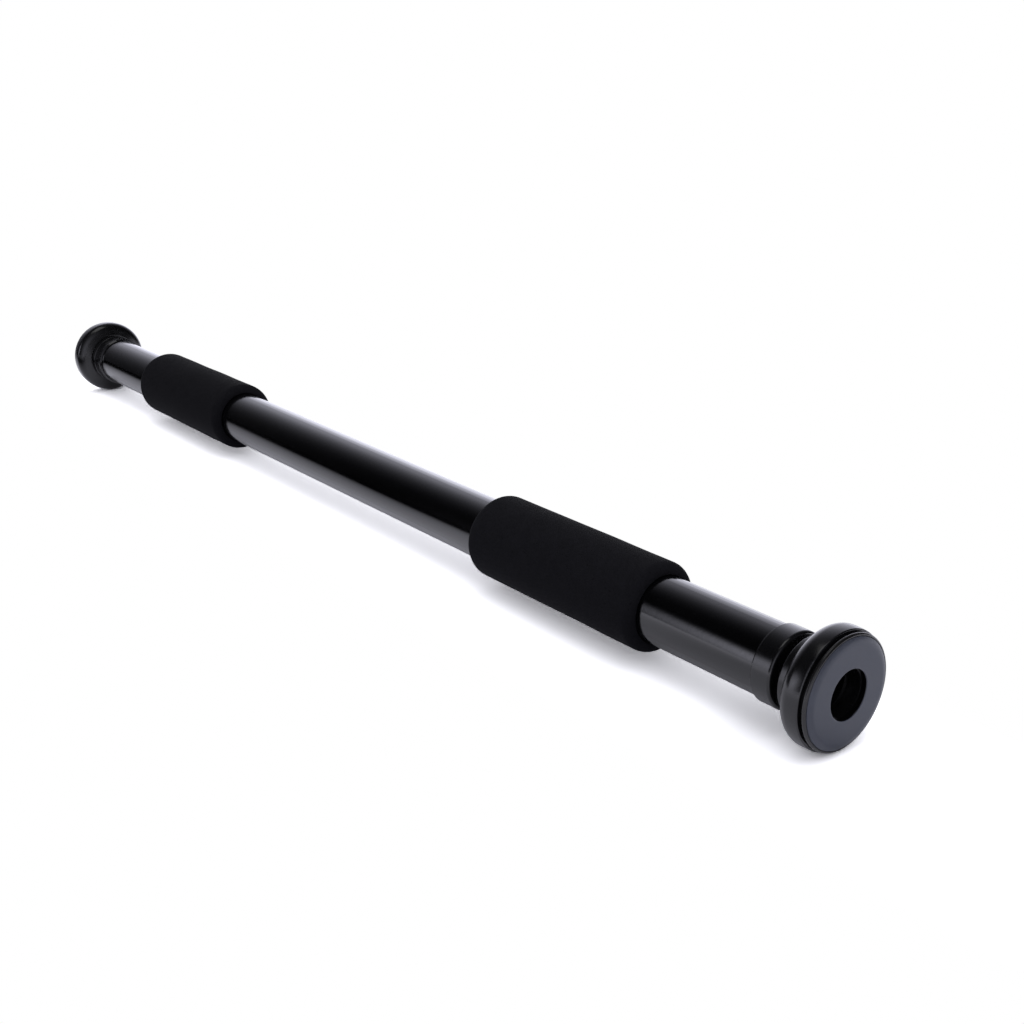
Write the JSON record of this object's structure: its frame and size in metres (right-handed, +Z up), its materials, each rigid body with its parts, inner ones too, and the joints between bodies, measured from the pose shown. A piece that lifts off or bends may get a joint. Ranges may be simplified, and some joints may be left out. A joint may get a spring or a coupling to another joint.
{
  "type": "pull up bar",
  "caption": "Doorway pull up bar: a black tube with foam grips between round padded feet, widened by turning it on a screw.",
  "frame": {"origin": "centre of the far foot's jamb face, on the bar's axis", "axes": "+X along the bar towards the near foot, which the screw moves; +Z up"},
  "size_m": [0.7207, 0.052, 0.052],
  "materials": {
    "tube_paint": "gloss black powder coat",
    "grip_foam": "matt closed-cell foam",
    "foot_plastic": "satin moulded plastic",
    "collar_plastic": "satin moulded plastic",
    "pad_rubber": "matt rubber",
    "screw_steel": "black phosphated steel, oiled",
    "zinc_steel": "zinc plated",
    "nylon": "natural nylon",
    "bronze": "sintered bronze"
  },
  "bodies": {
    "far_foot_body": {"far_foot": "foot_plastic", "far_pad": "pad_rubber", "far_foot_washer": "screw_steel", "far_foot_bolt": "screw_steel", "swivel_shaft": "screw_steel", "retaining_washer": "zinc_steel", "lock_nut": "zinc_steel"},
    "tube_body": {"main_tube": "tube_paint", "far_grip": "grip_foam", "near_grip": "grip_foam", "far_collar": "collar_plastic", "near_collar": "collar_plastic", "swivel_plug": "screw_steel", "swivel_bush": "bronze", "thrust_washer": "nylon", "thread_nut": "screw_steel", "plug_pins": "zinc_steel", "nut_pins": "zinc_steel"},
    "near_foot_body": {"near_foot": "foot_plastic", "near_pad": "pad_rubber", "near_foot_washer": "screw_steel", "near_foot_bolt": "screw_steel", "adjusting_screw": "screw_steel", "screw_guide": "nylon", "guide_washer": "zinc_steel", "guide_bolt": "zinc_steel"}
  },
  "joints": [
    {"name": "tube_turn", "type": "hinge", "parent": "far_foot_body", "child": "tube_body", "pos_m": [0.025, 0, 0], "axis": [-1, 0, 0], "range_deg": [-260, 7200]},
    {"name": "width_adjust", "type": "slide", "parent": "far_foot_body", "child": "near_foot_body", "axis": [1, 0, 0], "range_m": [-0.0037, 0.1001]}
  ],
  "couplings": [
    {"joint": "width_adjust", "follows": "tube_turn", "m_per_rad": 0.00079577}
  ]
}
